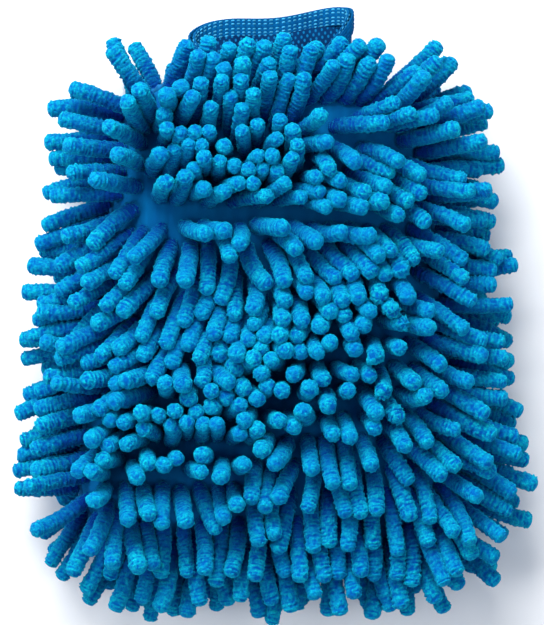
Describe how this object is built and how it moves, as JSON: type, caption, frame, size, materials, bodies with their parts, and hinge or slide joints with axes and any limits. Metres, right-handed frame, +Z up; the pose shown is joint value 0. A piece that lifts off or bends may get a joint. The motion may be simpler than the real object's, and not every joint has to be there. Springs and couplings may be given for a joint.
{
  "type": "wash mitt",
  "caption": "Double-sided chenille wash mitt with a lined hand pocket and a ribbed elastic cuff, lying on its back panel.",
  "frame": {"origin": "bottom centre of the whole mitt's box, on the surface that it lies on", "axes": "+Y from the closed end to the cuff, +X to the right, +Z up through the thickness"},
  "size_m": [0.2204, 0.259, 0.0704],
  "materials": {
    "chenille": "matte",
    "base_knit": "matte",
    "lining": "matte",
    "cuff_knit": "matte",
    "thread": "matte",
    "elastic": "matte"
  },
  "bodies": {
    "root": {"back_base_fabric": "base_knit", "back_lining": "lining", "back_noodle_row_01": "chenille", "back_noodle_row_02": "chenille", "back_noodle_row_03": "chenille", "back_noodle_row_04": "chenille", "back_noodle_row_05": "chenille", "back_noodle_row_06": "chenille", "back_noodle_row_07": "chenille", "back_noodle_row_08": "chenille", "back_noodle_row_09": "chenille", "back_noodle_row_10": "chenille", "back_noodle_row_11": "chenille", "back_noodle_row_12": "chenille", "back_noodle_row_13": "chenille", "back_noodle_row_14": "chenille", "back_noodle_row_15": "chenille", "back_noodle_row_16": "chenille", "back_noodle_row_17": "chenille", "back_noodle_row_18": "chenille", "cuff_closing_seam": "thread", "cuff_elastic_1": "elastic", "cuff_elastic_2": "elastic", "cuff_elastic_3": "elastic", "cuff_elastic_4": "elastic", "cuff_elastic_5": "elastic", "cuff_inner_ply": "cuff_knit", "cuff_outer_ply": "cuff_knit", "cuff_seam": "thread", "end_back_edge_noodles": "chenille", "end_front_edge_noodles": "chenille", "end_seam_noodles": "chenille", "front_base_fabric": "base_knit", "front_lining": "lining", "front_noodle_row_01": "chenille", "front_noodle_row_02": "chenille", "front_noodle_row_03": "chenille", "front_noodle_row_04": "chenille", "front_noodle_row_05": "chenille", "front_noodle_row_06": "chenille", "front_noodle_row_07": "chenille", "front_noodle_row_08": "chenille", "front_noodle_row_09": "chenille", "front_noodle_row_10": "chenille", "front_noodle_row_11": "chenille", "front_noodle_row_12": "chenille", "front_noodle_row_13": "chenille", "front_noodle_row_14": "chenille", "front_noodle_row_15": "chenille", "front_noodle_row_16": "chenille", "front_noodle_row_17": "chenille", "front_noodle_row_18": "chenille", "left_back_edge_noodles": "chenille", "left_front_edge_noodles": "chenille", "left_seam_noodles": "chenille", "perimeter_seam": "thread", "right_back_edge_noodles": "chenille", "right_front_edge_noodles": "chenille", "right_seam_noodles": "chenille"}
  },
  "joints": []
}
